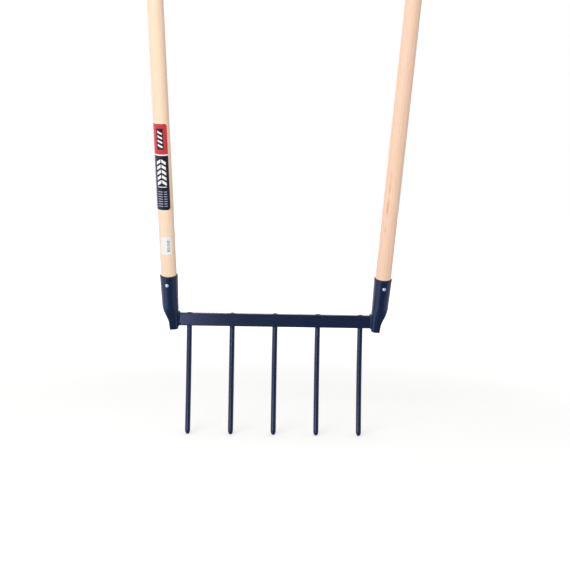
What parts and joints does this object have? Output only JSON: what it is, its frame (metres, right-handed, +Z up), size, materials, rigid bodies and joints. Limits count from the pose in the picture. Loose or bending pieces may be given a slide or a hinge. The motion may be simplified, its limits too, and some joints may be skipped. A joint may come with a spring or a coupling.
{
  "type": "broadfork",
  "caption": "Broadfork with bent round tines through a hollow crossbar tread and a pair of leaning ash handles riveted into pressed tube sockets, for loosening soil.",
  "frame": {"origin": "middle of the crossbar's flat top face, the tread", "axes": "+X to the right seen from the front, +Y to the back, +Z up out of the tread; the handles lean towards -Y"},
  "size_m": [0.6286, 0.3819, 1.4612],
  "materials": {
    "ash_wood": "clear satin lacquer on ash",
    "navy_paint": "semi-gloss navy stove enamel on steel",
    "bright_steel": "bright zinc-plated steel",
    "label_film": "printed gloss film",
    "sticker_paper": "matt white paper"
  },
  "bodies": {
    "root": {"left_handle": "ash_wood", "right_handle": "ash_wood", "left_rivet": "bright_steel", "right_rivet": "bright_steel", "handle_label": "label_film", "barcode_sticker": "sticker_paper", "left_socket": "navy_paint", "right_socket": "navy_paint", "crossbar": "navy_paint", "tine_1": "navy_paint", "tine_2": "navy_paint", "tine_3": "navy_paint", "tine_4": "navy_paint", "tine_5": "navy_paint", "tine_1_cap_weld": "navy_paint", "tine_2_cap_weld": "navy_paint", "tine_3_cap_weld": "navy_paint", "tine_4_cap_weld": "navy_paint", "tine_5_cap_weld": "navy_paint", "tine_1_collar_weld": "navy_paint", "tine_2_collar_weld": "navy_paint", "tine_3_collar_weld": "navy_paint", "tine_4_collar_weld": "navy_paint", "tine_5_collar_weld": "navy_paint", "left_socket_weld": "navy_paint", "right_socket_weld": "navy_paint"}
  },
  "joints": []
}
